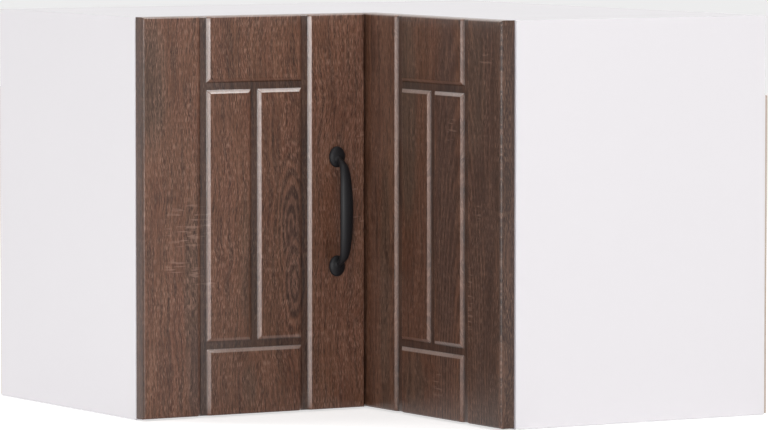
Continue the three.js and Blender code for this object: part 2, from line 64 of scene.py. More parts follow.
def setInputs(node, **values):
    for key, value in values.items():
        node.inputs[key.replace("_", " ")].default_value = value
    return node


def mathNode(tree, operation, a, b=None, clamp=False):
    node = addNode(tree, "ShaderNodeMath", operation=operation, use_clamp=clamp)
    for index, value in enumerate((a, b)):
        if value is None:
            continue
        if isinstance(value, (int, float)):
            node.inputs[index].default_value = value
        else:
            tree.links.new(value, node.inputs[index])
    return node.outputs[0]


def rangeNode(tree, value, low, high, outLow=0.0, outHigh=1.0, smooth=True):
    node = addNode(tree, "ShaderNodeMapRange", interpolation_type="SMOOTHSTEP" if smooth else "LINEAR")
    tree.links.new(value, node.inputs["Value"])
    setInputs(node, From_Min=low, From_Max=high, To_Min=outLow, To_Max=outHigh)
    return node.outputs["Result"]


def mixColour(tree, factor, a, b, blend="MIX"):
    node = addNode(tree, "ShaderNodeMix", data_type="RGBA", blend_type=blend)
    for index, value in ((0, factor), (6, a), (7, b)):
        if isinstance(value, (int, float)):
            node.inputs[index].default_value = value
        elif isinstance(value, tuple):
            node.inputs[index].default_value = (*value[:3], 1.0)
        else:
            tree.links.new(value, node.inputs[index])
    return node.outputs[2]


def noiseNode(tree, vector, scale, detail=2.0, roughness=0.5, distortion=0.0):
    node = addNode(tree, "ShaderNodeTexNoise")
    tree.links.new(vector, node.inputs["Vector"])
    setInputs(node, Scale=scale, Detail=detail, Roughness=roughness, Distortion=distortion)
    return node.outputs["Fac"]


def stretched(tree, vector, scale, shift=(0.0, 0.0, 0.0)):
    node = addNode(tree, "ShaderNodeMapping")
    tree.links.new(vector, node.inputs["Vector"])
    node.inputs["Scale"].default_value = scale
    node.inputs["Location"].default_value = shift
    return node.outputs["Vector"]


def newGroup(name, inputs, outputs):
    tree = bpy.data.node_groups.new(name, "ShaderNodeTree")
    for socketName, kind, value in inputs:
        socket = tree.interface.new_socket(socketName, in_out="INPUT", socket_type=kind)
        if value is not None:
            socket.default_value = value
    for socketName, kind in outputs:
        tree.interface.new_socket(socketName, in_out="OUTPUT", socket_type=kind)
    return tree, addNode(tree, "NodeGroupInput"), addNode(tree, "NodeGroupOutput")


# effects shared by several finishes

def makeSurfaceGrain():
    # fine unevenness of a coated or cast surface, with a slow change of tone
    tree, inside, outside = newGroup(
        "surfaceGrain",
        [("Vector", "NodeSocketVector", None), ("Fine Scale", "NodeSocketFloat", 900.0),
         ("Slow Scale", "NodeSocketFloat", 6.0)],
        [("Height", "NodeSocketFloat"), ("Tone", "NodeSocketFloat"), ("Speck", "NodeSocketFloat")])
    fine = addNode(tree, "ShaderNodeTexNoise")
    setInputs(fine, Detail=3.0, Roughness=0.6)
    slow = addNode(tree, "ShaderNodeTexNoise")
    setInputs(slow, Detail=4.0, Roughness=0.55)
    for node, scale in ((fine, "Fine Scale"), (slow, "Slow Scale")):
        tree.links.new(inside.outputs["Vector"], node.inputs["Vector"])
        tree.links.new(inside.outputs[scale], node.inputs["Scale"])
    tree.links.new(fine.outputs["Fac"], outside.inputs["Height"])
    tree.links.new(slow.outputs["Fac"], outside.inputs["Tone"])
    speck = rangeNode(tree, fine.outputs["Fac"], 0.62, 0.74)
    tree.links.new(speck, outside.inputs["Speck"])
    return tree


def makeDustAndTopHighlight():
    # dust on faces turned up; laid on thick on the doors, it is also a painted highlight on the groove walls turned
    # up
    tree, inside, outside = newGroup(
        "dustAndTopHighlight",
        [("Vector", "NodeSocketVector", None), ("Amount", "NodeSocketFloat", 0.3)],
        [("Mask", "NodeSocketFloat")])
    geometry = addNode(tree, "ShaderNodeNewGeometry")
    split = addNode(tree, "ShaderNodeSeparateXYZ")
    tree.links.new(geometry.outputs["Normal"], split.inputs[0])
    faceUp = rangeNode(tree, split.outputs["Z"], 0.25, 0.65)
    patch = noiseNode(tree, inside.outputs["Vector"], 14.0, 5.0, 0.6)
    patch = rangeNode(tree, patch, 0.25, 0.55, 0.4, 1.0)
    speckle = noiseNode(tree, inside.outputs["Vector"], 700.0, 2.0, 0.7)
    speckle = rangeNode(tree, speckle, 0.5, 0.8, 0.55, 1.0)
    mask = mathNode(tree, "MULTIPLY", faceUp, patch)
    mask = mathNode(tree, "MULTIPLY", mask, speckle)
    mask = mathNode(tree, "MULTIPLY", mask, inside.outputs["Amount"])
    tree.links.new(mask, outside.inputs["Mask"])
    return tree


surfaceGrain = makeSurfaceGrain()
dustAndTopHighlight = makeDustAndTopHighlight()


def newMaterial(name, shown):
    material = bpy.data.materials.new(name)
    material.use_nodes = True
    material.diffuse_color = (*shown, 1.0)
    tree = material.node_tree
    shader = tree.nodes["Principled BSDF"]
    place = addNode(tree, "ShaderNodeTexCoord").outputs["Object"]
    return material, tree, shader, place


def useGroup(tree, group, place, **values):
    node = addNode(tree, "ShaderNodeGroup", node_tree=group)
    tree.links.new(place, node.inputs["Vector"])
    setInputs(node, **values)
    return node


def addBump(tree, shader, height, strength, distance):
    bump = addNode(tree, "ShaderNodeBump")
    setInputs(bump, Strength=strength, Distance=distance)
    tree.links.new(height, bump.inputs["Height"])
    tree.links.new(bump.outputs["Normal"], shader.inputs["Normal"])


# plain finishes

def makePlainFinish(name, look):
    # one base colour with slow tone, fine grain and some dust
    material, tree, shader, place = newMaterial(name, look["colour"])
    grain = useGroup(tree, surfaceGrain, place, Fine_Scale=look["fineScale"], Slow_Scale=look["slowScale"])
    darker = tuple(c * look["toneDrop"] for c in look["colour"])
    colour = mixColour(tree, grain.outputs["Tone"], darker, look["colour"])
    dust = useGroup(tree, dustAndTopHighlight, place, Amount=look["dust"])
    colour = mixColour(tree, dust.outputs["Mask"], colour, look["dustColour"])
    tree.links.new(colour, shader.inputs["Base Color"])
    rough = rangeNode(tree, grain.outputs["Tone"], 0.3, 0.7, *look["roughness"])
    tree.links.new(rough, shader.inputs["Roughness"])
    shader.inputs["Metallic"].default_value = look["metallic"]
    shader.inputs["Specular IOR Level"].default_value = look.get("shine", 0.5)
    addBump(tree, shader, grain.outputs["Height"], look["bump"], look["bumpDepth"])
    return material


plainLooks = {
    "whiteBoard": dict(colour=(0.80, 0.775, 0.80), toneDrop=0.985, roughness=(0.36, 0.44), metallic=0.0,
                       fineScale=1400.0, slowScale=5.0, bump=0.06, bumpDepth=0.0002,
                       dust=0.05, dustColour=(0.62, 0.60, 0.57)),
    "blackIron": dict(colour=(0.0105, 0.0098, 0.0115), toneDrop=0.75, roughness=(0.42, 0.54), metallic=0.0,
                      shine=0.22, fineScale=1500.0, slowScale=40.0, bump=0.25, bumpDepth=0.0002,
                      dust=0.04, dustColour=(0.30, 0.28, 0.26)),
    "steelPlate": dict(colour=(0.60, 0.60, 0.60), toneDrop=0.88, roughness=(0.24, 0.36), metallic=1.0,
                       fineScale=1100.0, slowScale=60.0, bump=0.08, bumpDepth=0.0002,
                       dust=0.06, dustColour=(0.45, 0.44, 0.42)),
    "castZinc": dict(colour=(0.47, 0.47, 0.48), toneDrop=0.82, roughness=(0.38, 0.52), metallic=1.0,
                     fineScale=1300.0, slowScale=80.0, bump=0.20, bumpDepth=0.0002,
                     dust=0.06, dustColour=(0.40, 0.39, 0.37)),
    "whitePlastic": dict(colour=(0.82, 0.81, 0.79), toneDrop=0.975, roughness=(0.34, 0.42), metallic=0.0,
                         fineScale=1600.0, slowScale=25.0, bump=0.08, bumpDepth=0.0002,
                         dust=0.06, dustColour=(0.60, 0.58, 0.55)),
}
finishes = {name: makePlainFinish(name, look) for name, look in plainLooks.items()}


def makeSoftDot():
    # clear door buffer
    look = {"dull": (0.70, 0.72, 0.70), "clear": (0.86, 0.87, 0.86), "roughness": (0.10, 0.22), "seeThrough": 0.6}
    material, tree, shader, place = newMaterial("softDot", look["dull"])
    grain = useGroup(tree, surfaceGrain, place, Fine_Scale=900.0, Slow_Scale=200.0)
    colour = mixColour(tree, grain.outputs["Tone"], look["dull"], look["clear"])
    tree.links.new(colour, shader.inputs["Base Color"])
    rough = rangeNode(tree, grain.outputs["Tone"], 0.3, 0.7, *look["roughness"])
    tree.links.new(rough, shader.inputs["Roughness"])
    shader.inputs["Transmission Weight"].default_value = look["seeThrough"]
    shader.inputs["IOR"].default_value = 1.45
    return material


def makeHardboard():
    # pressed brown fibre: smooth side with short fibres, paler where it is cut
    look = {
        "light": (0.55, 0.43, 0.34), "dark": (0.36, 0.26, 0.19), "cutEdge": (0.50, 0.40, 0.345),
        "roughness": (0.5, 0.7), "bump": 0.25, "bumpDepth": 0.0004,
    }
    material, tree, shader, place = newMaterial("hardboard", look["light"])
    fibres = noiseNode(tree, stretched(tree, place, (420.0, 420.0, 1300.0)), 1.0, 3.0, 0.6, 0.8)
    clouds = noiseNode(tree, place, 22.0, 5.0, 0.6)
    colour = mixColour(tree, rangeNode(tree, fibres, 0.3, 0.7), look["dark"], look["light"])
    colour = mixColour(tree, rangeNode(tree, clouds, 0.3, 0.7, 0.0, 0.35), colour, look["light"])
    geometry = addNode(tree, "ShaderNodeNewGeometry")
    split = addNode(tree, "ShaderNodeSeparateXYZ")
    tree.links.new(geometry.outputs["Normal"], split.inputs[0])
    broad = mathNode(tree, "MAXIMUM", split.outputs["X"], split.outputs["Y"])
    cut = rangeNode(tree, broad, 0.2, 0.6, 1.0, 0.0)
    colour = mixColour(tree, cut, colour, look["cutEdge"])
    tree.links.new(colour, shader.inputs["Base Color"])
    tree.links.new(rangeNode(tree, clouds, 0.3, 0.7, *look["roughness"]), shader.inputs["Roughness"])
    addBump(tree, shader, fibres, look["bump"], look["bumpDepth"])
    return material


finishes["softDot"] = makeSoftDot()
finishes["hardboard"] = makeHardboard()


# oak foil of the doors

oakLook = {
    "base": (0.128, 0.056, 0.031), "light": (0.230, 0.118, 0.078), "deep": (0.045, 0.021, 0.013),
    "red": (0.125, 0.050, 0.029), "grey": (0.088, 0.063, 0.046), "plum": (0.078, 0.044, 0.039),
    "poreDash": (0.400, 0.240, 0.180), "darkDash": (0.021, 0.0095, 0.006), "sawMark": (0.330, 0.210, 0.170),
    # dust: pale dust colour, which on the doors' groove walls turned up stands as a painted highlight
    "dust": (0.50, 0.41, 0.37),
    # paintedWallHighlight: a paler colour on the groove walls, a painted highlight
    "paintedWallHighlight": (0.330, 0.190, 0.145), "paintedWallHighlightShare": 0.20, "grooveDashShare": 0.45,
    "deepShare": 0.78, "lightShare": 0.50, "darkDashShare": 0.70, "sawShare": 0.42,
    "roughness": (0.28, 0.36), "shine": 0.36, "grooveGloss": 0.34, "grooveGlossRoughness": 0.22,
    "bump": 0.12, "bumpDepth": 0.0002,
}


def makeOakGrain():
    # standing oak grain in millimetres: x across the door, z up
    tree, inside, outside = newGroup(
        "oakGrain",
        [("Vector", "NodeSocketVector", None), ("Shift", "NodeSocketFloat", 0.0)],
        [("Tone", "NodeSocketFloat"), ("Streak", "NodeSocketFloat"), ("Dash", "NodeSocketFloat"),
         ("Dark Dash", "NodeSocketFloat"), ("Height", "NodeSocketFloat")])
    combine = addNode(tree, "ShaderNodeCombineXYZ")
    tree.links.new(inside.outputs["Shift"], combine.inputs["X"])
    shifted = addNode(tree, "ShaderNodeVectorMath", operation="ADD")
    tree.links.new(inside.outputs["Vector"], shifted.inputs[0])
    tree.links.new(combine.outputs[0], shifted.inputs[1])
    place = shifted.outputs[0]

    # the grain leans a little from place to place
    wander = noiseNode(tree, stretched(tree, place, (0.014, 0.0, 0.007)), 1.0, 3.0, 0.5)
    lean = addNode(tree, "ShaderNodeCombineXYZ")
    tree.links.new(mathNode(tree, "MULTIPLY", mathNode(tree, "SUBTRACT", wander, 0.5), 30.0), lean.inputs["X"])
    leaning = addNode(tree, "ShaderNodeVectorMath", operation="ADD")
    tree.links.new(place, leaning.inputs[0])
    tree.links.new(lean.outputs[0], leaning.inputs[1])
    bent = leaning.outputs[0]

    broad = noiseNode(tree, stretched(tree, bent, (0.050, 0.0, 0.006)), 1.0, 4.0, 0.6)
    tree.links.new(rangeNode(tree, broad, 0.34, 0.66), outside.inputs["Tone"])

    streak = noiseNode(tree, stretched(tree, bent, (0.26, 0.0, 0.010)), 1.0, 5.0, 0.68)
    tree.links.new(rangeNode(tree, streak, 0.32, 0.68), outside.inputs["Streak"])

    crowd = noiseNode(tree, stretched(tree, place, (0.045, 0.0, 0.022)), 1.0, 3.0, 0.6)
    crowd = rangeNode(tree, crowd, 0.32, 0.62, 0.35, 1.0)
    dash = noiseNode(tree, stretched(tree, bent, (1.90, 0.0, 0.15)), 1.0, 2.0, 0.5)
    light = mathNode(tree, "MULTIPLY", rangeNode(tree, dash, 0.49, 0.63), crowd)
    tree.links.new(light, outside.inputs["Dash"])
    darkPlace = stretched(tree, bent, (1.25, 0.0, 0.075), (31.0, 0.0, 17.0))
    dark = noiseNode(tree, darkPlace, 1.0, 4.0, 0.62)
    dark = rangeNode(tree, dark, 0.48, 0.62)
    tree.links.new(dark, outside.inputs["Dark Dash"])

    height = mathNode(tree, "SUBTRACT", mathNode(tree, "MULTIPLY", streak, 0.6), dark)
    tree.links.new(height, outside.inputs["Height"])
    return tree


def makeSoftSpot():
    # 1 inside an oval place on the door and 0 outside, with a ragged soft rim
    tree, inside, outside = newGroup(
        "softSpot",
        [("Vector", "NodeSocketVector", None), ("Across", "NodeSocketFloat", 0.0), ("Up", "NodeSocketFloat", 0.0),
         ("Half Width", "NodeSocketFloat", 10.0), ("Half Height", "NodeSocketFloat", 10.0),
         ("Ragged", "NodeSocketFloat", 0.5)],
        [("Mask", "NodeSocketFloat"), ("Distance", "NodeSocketFloat")])
    split = addNode(tree, "ShaderNodeSeparateXYZ")
    tree.links.new(inside.outputs["Vector"], split.inputs[0])
    across = mathNode(tree, "SUBTRACT", split.outputs["X"], inside.outputs["Across"])
    across = mathNode(tree, "DIVIDE", across, inside.outputs["Half Width"])
    up = mathNode(tree, "SUBTRACT", split.outputs["Z"], inside.outputs["Up"])
    up = mathNode(tree, "DIVIDE", up, inside.outputs["Half Height"])
    square = mathNode(tree, "ADD", mathNode(tree, "MULTIPLY", across, across), mathNode(tree, "MULTIPLY", up, up))
    distance = mathNode(tree, "SQRT", square)
    rim = noiseNode(tree, stretched(tree, inside.outputs["Vector"], (0.07, 0.0, 0.02)), 1.0, 3.0, 0.6)
    rim = mathNode(tree, "MULTIPLY", mathNode(tree, "SUBTRACT", rim, 0.5), inside.outputs["Ragged"])
    tree.links.new(distance, outside.inputs["Distance"])
    ragged = mathNode(tree, "ADD", distance, rim)
    tree.links.new(rangeNode(tree, ragged, 0.55, 1.15, 1.0, 0.0), outside.inputs["Mask"])
    return tree


oakGrain = makeOakGrain()
softSpot = makeSoftSpot()


def spotAt(tree, place, spot, ragged=0.6):
    across, up, halfWidth, halfHeight = spot
    return useGroup(tree, softSpot, place, Across=across, Up=up, Half_Width=halfWidth, Half_Height=halfHeight,
                    Ragged=ragged)


def makeOakFoil(name, door):
    look = oakLook
    material, tree, shader, place = newMaterial(name, look["base"])
    # unrolled round the standing edges, so that the grain turns the corner
    split = addNode(tree, "ShaderNodeSeparateXYZ")
    tree.links.new(place, split.inputs[0])
    sheet = addNode(tree, "ShaderNodeCombineXYZ")
    unrolled = mathNode(tree, "SUBTRACT", split.outputs["X"], split.outputs["Y"])
    tree.links.new(mathNode(tree, "MULTIPLY", mathNode(tree, "SUBTRACT", unrolled, 0.016), 1000.0), sheet.inputs["X"])
    tree.links.new(mathNode(tree, "MULTIPLY", split.outputs["Z"], 1000.0), sheet.inputs["Z"])
    sheet = sheet.outputs[0]

    grain = useGroup(tree, oakGrain, sheet, Shift=door["shift"])
    colour = mixColour(tree, grain.outputs["Tone"], look["base"], look["red"])
    for tone, share, spot in door["patches"]:
        mask = spotAt(tree, sheet, spot).outputs["Mask"]
        colour = mixColour(tree, mathNode(tree, "MULTIPLY", mask, share), colour, look[tone])

    # growth rings round the knots
    streak = grain.outputs["Streak"]
    for spot, ringCount, share in door["knots"]:
        knot = spotAt(tree, sheet, spot, 0.2)
        wobble = noiseNode(tree, stretched(tree, sheet, (0.05, 0.0, 0.016)), 1.0, 3.0, 0.55)
        rings = mathNode(tree, "MULTIPLY", knot.outputs["Distance"], ringCount)
        rings = mathNode(tree, "ADD", rings, mathNode(tree, "MULTIPLY", wobble, 1.5))
        wave = mathNode(tree, "SINE", mathNode(tree, "MULTIPLY", rings, 6.2832))
        wave = rangeNode(tree, wave, -0.9, 0.9)
        blend = addNode(tree, "ShaderNodeMix", data_type="FLOAT")
        tree.links.new(mathNode(tree, "MULTIPLY", knot.outputs["Mask"], share), blend.inputs[0])
        tree.links.new(streak, blend.inputs[2])
        tree.links.new(wave, blend.inputs[3])
        streak = blend.outputs[0]

    colour = mixColour(tree, rangeNode(tree, streak, 0.0, 0.5, look["deepShare"], 0.0), colour, look["deep"])
    colour = mixColour(tree, rangeNode(tree, streak, 0.5, 1.0, 0.0, look["lightShare"]), colour, look["light"])
    grooveShare = addNode(tree, "ShaderNodeAttribute", attribute_name="inGroove").outputs["Fac"]
    plainer = rangeNode(tree, grooveShare, 0.02, 0.15, 1.0, look["grooveDashShare"])
    darkShare = mathNode(tree, "MULTIPLY", grain.outputs["Dark Dash"], look["darkDashShare"])
    darkShare = mathNode(tree, "MULTIPLY", darkShare, plainer)
    colour = mixColour(tree, darkShare, colour, look["darkDash"])
    lightShare = mathNode(tree, "MULTIPLY", grain.outputs["Dash"], door["dash"])
    colour = mixColour(tree, lightShare, colour, look["poreDash"])

    # saw marks: short level lines in a few places
    saw = noiseNode(tree, stretched(tree, sheet, (0.045, 0.0, 0.36)), 1.0, 1.5, 0.5)
    saw = rangeNode(tree, saw, 0.53, 0.64)
    marked = None
    for spot in door["sawMarks"]:
        mask = spotAt(tree, sheet, spot).outputs["Mask"]
        marked = mask if marked is None else mathNode(tree, "MAXIMUM", marked, mask)
    sawMask = mathNode(tree, "MULTIPLY", mathNode(tree, "MULTIPLY", saw, marked), look["sawShare"])
    colour = mixColour(tree, sawMask, colour, look["sawMark"])
    # each door's level tints its foil; the right door's much lower level is partly painted shade
    colour = mixColour(tree, 1.0, colour, door["level"], "MULTIPLY")
    # painted highlight makes the groove walls paler than the face, and painted shade makes the groove floors darker
    wall = mathNode(
        tree, "MULTIPLY", rangeNode(tree, grooveShare, 0.02, 0.12, 0.0, look["paintedWallHighlightShare"]),
        rangeNode(tree, grooveShare, 0.55, 0.90, 1.0, 0.0))
    colour = mixColour(tree, wall, colour, look["paintedWallHighlight"])
    # painted shade darkens the groove floors and the lower walls
    shade = rangeNode(tree, grooveShare, 0.50, 0.95, 1.0, door["paintedGrooveShade"])
    shadeColour = addNode(tree, "ShaderNodeCombineColor")
    for channel in ("Red", "Green", "Blue"):
        tree.links.new(shade, shadeColour.inputs[channel])
    colour = mixColour(tree, 1.0, colour, shadeColour.outputs[0], "MULTIPLY")
    # painted shade darkens the narrow edge at 0 across
    atSide = rangeNode(tree, split.outputs["X"], 0.0003, 0.0018, 1.0, 0.0)
    sideShade = mixColour(tree, atSide, (1.0, 1.0, 1.0), (door["paintedEdgeShade"],) * 3)
    colour = mixColour(tree, 1.0, colour, sideShade, "MULTIPLY")
    # on the doors the dust film is mostly painted highlight: its pale colour brightens the groove walls turned up
    dust = useGroup(tree, dustAndTopHighlight, place, Amount=door["dust"])
    colour = mixColour(tree, dust.outputs["Mask"], colour, look["dust"])
    tree.links.new(colour, shader.inputs["Base Color"])
    shader.inputs["Specular IOR Level"].default_value = look["shine"]
    # the foil is drawn tight and glossy over the groove walls
    shader.inputs["Coat Roughness"].default_value = look["grooveGlossRoughness"]
    shader.inputs["Coat IOR"].default_value = 1.5
    gloss = rangeNode(tree, grooveShare, 0.02, 0.15, 0.0, look["grooveGloss"])
    tree.links.new(gloss, shader.inputs["Coat Weight"])
    rough = rangeNode(tree, grain.outputs["Dark Dash"], 0.0, 1.0, *look["roughness"])
    tree.links.new(rough, shader.inputs["Roughness"])
    addBump(tree, shader, grain.outputs["Height"], look["bump"], look["bumpDepth"])
    return material


# places in millimetres from the door's left lower corner: across, up, half width, half height
leftDoorWood = {
    "shift": 0.0, "paintedGrooveShade": 0.42, "dust": 1.0, "dash": 0.54, "level": (0.95, 0.915, 0.88),
    "patches": [
        ("grey", 0.65, (11, 330, 17, 75)), ("deep", 0.36, (11, 325, 15, 70)),
        ("grey", 0.50, (56, 110, 11, 110)), ("deep", 0.38, (55, 105, 9, 105)), ("plum", 0.45, (60, 40, 14, 60)),
        ("deep", 0.50, (172, 192, 8, 30)), ("deep", 0.50, (176, 132, 7, 30)),
        ("plum", 0.70, (170, 190, 15, 44)), ("plum", 0.7, (173, 130, 13, 38)),
        ("deep", 0.35, (176, 250, 8, 90)), ("red", 0.6, (225, 190, 32, 210)),
        ("deep", 0.22, (156, 190, 34, 160)), ("grey", 0.35, (118, 150, 10, 80)),
        ("grey", 0.4, (120, 28, 10, 26))],
    "knots": [((168, 186, 21, 84), 4.6, 0.95), ((172, 128, 17, 62), 3.6, 0.9)],
    "sawMarks": [(52, 190, 30, 26), (244, 277, 12, 4), (246, 190, 12, 5), (40, 150, 16, 8), (236, 222, 10, 3),
                 (66, 140, 18, 16)],
    "paintedEdgeShade": 0.55,
}
# this door's low level is partly painted shade
rightDoorWood = {
    "shift": 613.0, "paintedGrooveShade": 0.5, "dust": 1.0, "dash": 0.42, "level": (0.72, 0.69, 0.65),
    "patches": [
        ("light", 0.55, (30, 200, 44, 260)), ("red", 0.6, (18, 220, 26, 240)),
        ("grey", 0.6, (44, 120, 12, 160)), ("grey", 0.75, (88, 300, 20, 130)), ("red", 0.6, (98, 120, 18, 80)),
        ("plum", 0.8, (162, 220, 24, 230)), ("deep", 0.25, (162, 220, 24, 230)),
        ("deep", 0.85, (246, 200, 50, 320)), ("plum", 0.4, (225, 220, 36, 230)),
        ("grey", 0.4, (215, 330, 24, 80)), ("grey", 0.5, (100, 34, 24, 30))],
    "knots": [((188, 10, 60, 460), 13.0, 0.6)],
    "sawMarks": [(213, 208, 15, 14), (146, 34, 12, 14), (172, 285, 11, 18), (236, 360, 14, 6), (205, 120, 10, 40)],
    "paintedEdgeShade": 0.95,
}
finishes["oakLeft"] = makeOakFoil("oakFoilLeft", leftDoorWood)
finishes["oakRight"] = makeOakFoil("oakFoilRight", rightDoorWood)
print("finishes made:", len(finishes))


# carried-over pieces take their finish from the record's slots

slotFinish = {
    "white_board": "whiteBoard", "hardboard": "hardboard", "oak_foil": "oakLeft", "black_iron": "blackIron",
    "steel": "steelPlate", "zinc": "castZinc", "white_plastic": "whitePlastic", "clear_plastic": "softDot",
}
slotOf = {part["node"]: part["material_slot"] for part in frame["record"]["subparts"]}
for name, piece in nodes.items():
    piece.data.materials.clear()
    piece.data.materials.append(finishes[slotFinish[slotOf[name]]])

edgeEase = {"boards": 0.5 * mm, "fittings": 0.25 * mm}
for name, piece in nodes.items():
    # eased edges, laid over the CAD mesh without changing it
    weld = piece.modifiers.new("weld", "WELD")
    weld.merge_threshold = 0.000004
    ease = piece.modifiers.new("ease", "BEVEL")
    board = slotOf[name] in ("white_board", "hardboard")
    ease.width = edgeEase["boards" if board else "fittings"]
    ease.segments = 2
    ease.limit_method = "ANGLE"
    ease.angle_limit = math.radians(50)
    ease.harden_normals = board


# doors

doorLook = {
    "thickness": 16.0, "frontRound": 2.5, "backBevel": 0.8,
    "grooveMargin": 69.0, "grooveBand": 70.0,      # groove centres from the side, top and bottom edges
    "grooveWidth": 15.0, "grooveFloor": 7.0, "grooveDepth": 2.7,
    "cupRadius": 17.7, "cupDepth": 12.3,
}


def gridLines(length, centres, coarse):
    # places across a door: close together in the rounded edges and the grooves
    half = doorLook["grooveWidth"] / 2
    edge = [0.0, 0.12, 0.3, 0.6, 1.0, 1.5, 2.0, doorLook["frontRound"]]
    lines = set(edge) | {length - e for e in edge}
    steps = 22    # lines on each side of a groove's middle
    for centre in centres:
        for i in range(-steps, steps + 1):
            lines.add(centre + half * 1.05 * i / steps)
    ordered = sorted(round(value, 4) for value in lines)
    filled = []
    for a, b in zip(ordered, ordered[1:]):
        parts = max(1, int(math.ceil((b - a) / coarse)))
        filled += [a + (b - a) * k / parts for k in range(parts)]
    filled.append(ordered[-1])
    return np.array(filled)


def grooveFall(distance):
    # depth at a distance from a groove's centre line: the wall steepens to a small flat floor
    half, floor = doorLook["grooveWidth"] / 2, doorLook["grooveFloor"] / 2
    share = np.clip((half - distance) / (half - floor), 0.0, 1.0)
    return doorLook["grooveDepth"] * share ** 1.12


def edgeFall(distance):
    radius = doorLook["frontRound"]
    inside = np.clip(radius - distance, 0.0, radius)
    return radius - np.sqrt(radius * radius - inside * inside)


def makeDoor(name, width, height, place, turn, cups, material):
    margin, band = doorLook["grooveMargin"], doorLook["grooveBand"]
    uprights = [margin, width / 2, width - margin]
    bands = [band, height - band]
    xs = gridLines(width, uprights, 9.0)
    zs = gridLines(height, bands, 9.0)
    gridX, gridZ = np.meshgrid(xs, zs, indexing="ij")
    fall = np.zeros_like(gridX)
    for x in (uprights[0], uprights[2]):
        fall = np.maximum(fall, grooveFall(np.abs(gridX - x)))
    between = (gridZ >= bands[0]) & (gridZ <= bands[1])
    fall = np.maximum(fall, grooveFall(np.abs(gridX - uprights[1])) * between)
    across = (gridX >= uprights[0]) & (gridX <= uprights[2])
    for z in bands:
        fall = np.maximum(fall, grooveFall(np.abs(gridZ - z)) * across)
    inGroove = np.clip(fall / doorLook["grooveDepth"], 0.0, 1.0)
    fromSide = np.minimum(gridX, width - gridX)
    fromEnd = np.minimum(gridZ, height - gridZ)
    fall = fall + np.maximum(edgeFall(fromSide), edgeFall(fromEnd))
    depth = -doorLook["thickness"] + fall

    countX, countZ = len(xs), len(zs)
    points = np.stack([gridX, depth, gridZ], axis=-1).reshape(-1, 3)
    index = np.arange(countX * countZ).reshape(countX, countZ)
    faces = [
        (index[i, j], index[i + 1, j], index[i + 1, j + 1], index[i, j + 1])
        for i in range(countX - 1) for j in range(countZ - 1)]
    rim = (
        [index[i, 0] for i in range(countX - 1)] + [index[countX - 1, j] for j in range(countZ - 1)]
        + [index[i, countZ - 1] for i in range(countX - 1, 0, -1)] + [index[0, j] for j in range(countZ - 1, 0, -1)])
    bevel = doorLook["backBevel"]
    rimPoints = points[rim]
    lower = rimPoints.copy()
    lower[:, 1] = -bevel
    back = rimPoints.copy()
    back[:, 1] = 0.0
    back[:, 0] = np.clip(back[:, 0], bevel, width - bevel)
    back[:, 2] = np.clip(back[:, 2], bevel, height - bevel)
    firstLower = len(points)
    firstBack = firstLower + len(rim)
    points = np.vstack([points, lower, back])
    count = len(rim)
    for k in range(count):
        following = (k + 1) % count
        faces.append((rim[following], rim[k], firstLower + k, firstLower + following))
        faces.append((firstLower + following, firstLower + k, firstBack + k, firstBack + following))
    faces.append(tuple(firstBack + k for k in range(count)))

    mesh = bpy.data.meshes.new(name)
    mesh.from_pydata((points * mm).tolist(), [], [tuple(int(v) for v in face) for face in faces])
    depthShare = mesh.attributes.new("inGroove", "FLOAT", "POINT")
    shares = np.zeros(len(points), dtype=np.float32)
    shares[:inGroove.size] = inGroove.reshape(-1)
    depthShare.data.foreach_set("value", shares)
    work = bmesh.new()
    work.from_mesh(mesh)
    bmesh.ops.remove_doubles(work, verts=work.verts, dist=0.00001)
    bmesh.ops.recalc_face_normals(work, faces=work.faces)
    work.to_mesh(mesh)
    work.free()
    door = bpy.data.objects.new(name, mesh)
    bpy.context.scene.collection.objects.link(door)
    mesh.materials.append(material)
    mesh.materials.append(finishes["whiteBoard"])
    for x, z in cups:
        cutPocket(door, x, z)
    for polygon in door.data.polygons:
        polygon.use_smooth = True
        if polygon.center[1] > -0.0001 or polygon.normal[1] > 0.9:
            polygon.material_index = 1
    door.data.set_sharp_from_angle(angle=math.radians(40))
    door.matrix_world = Matrix.Translation(Vector(place) * mm) @ Matrix.Rotation(turn, 4, "Z")
    return door


def cutPocket(door, x, z):
    # round pocket for a hinge cup in a door's back
    bpy.ops.mesh.primitive_cylinder_add(
        vertices=64, radius=doorLook["cupRadius"] * mm, depth=2 * doorLook["cupDepth"] * mm,
        location=(x * mm, 0.0, z * mm), rotation=(math.pi / 2, 0, 0))
    cutter = bpy.context.object
    cut = door.modifiers.new("pocket", "BOOLEAN")
    cut.operation = "DIFFERENCE"
    cut.solver = "EXACT"
    cut.object = cutter
    evaluated = door.evaluated_get(bpy.context.evaluated_depsgraph_get())
    result = bpy.data.meshes.new_from_object(evaluated)
    door.modifiers.clear()
    door.data = result
    bpy.data.objects.remove(cutter, do_unlink=True)


def boxOf(name):
    low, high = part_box(name)
    return [v / mm for v in low], [v / mm for v in high]


leftLow, leftHigh = boxOf("left_door")
rightLow, rightHigh = boxOf("right_door")
doorHeight = leftHigh[2] - leftLow[2]
cupPlaces = []
for level in ("lower", "upper"):
    low, high = boxOf(f"hinge_pin_{level}")
    cupPlaces.append(((low[0] + high[0]) / 2 - leftLow[0] - 5.5 + 2.8 + 17.5, (low[2] + high[2]) / 2 - leftLow[2]))

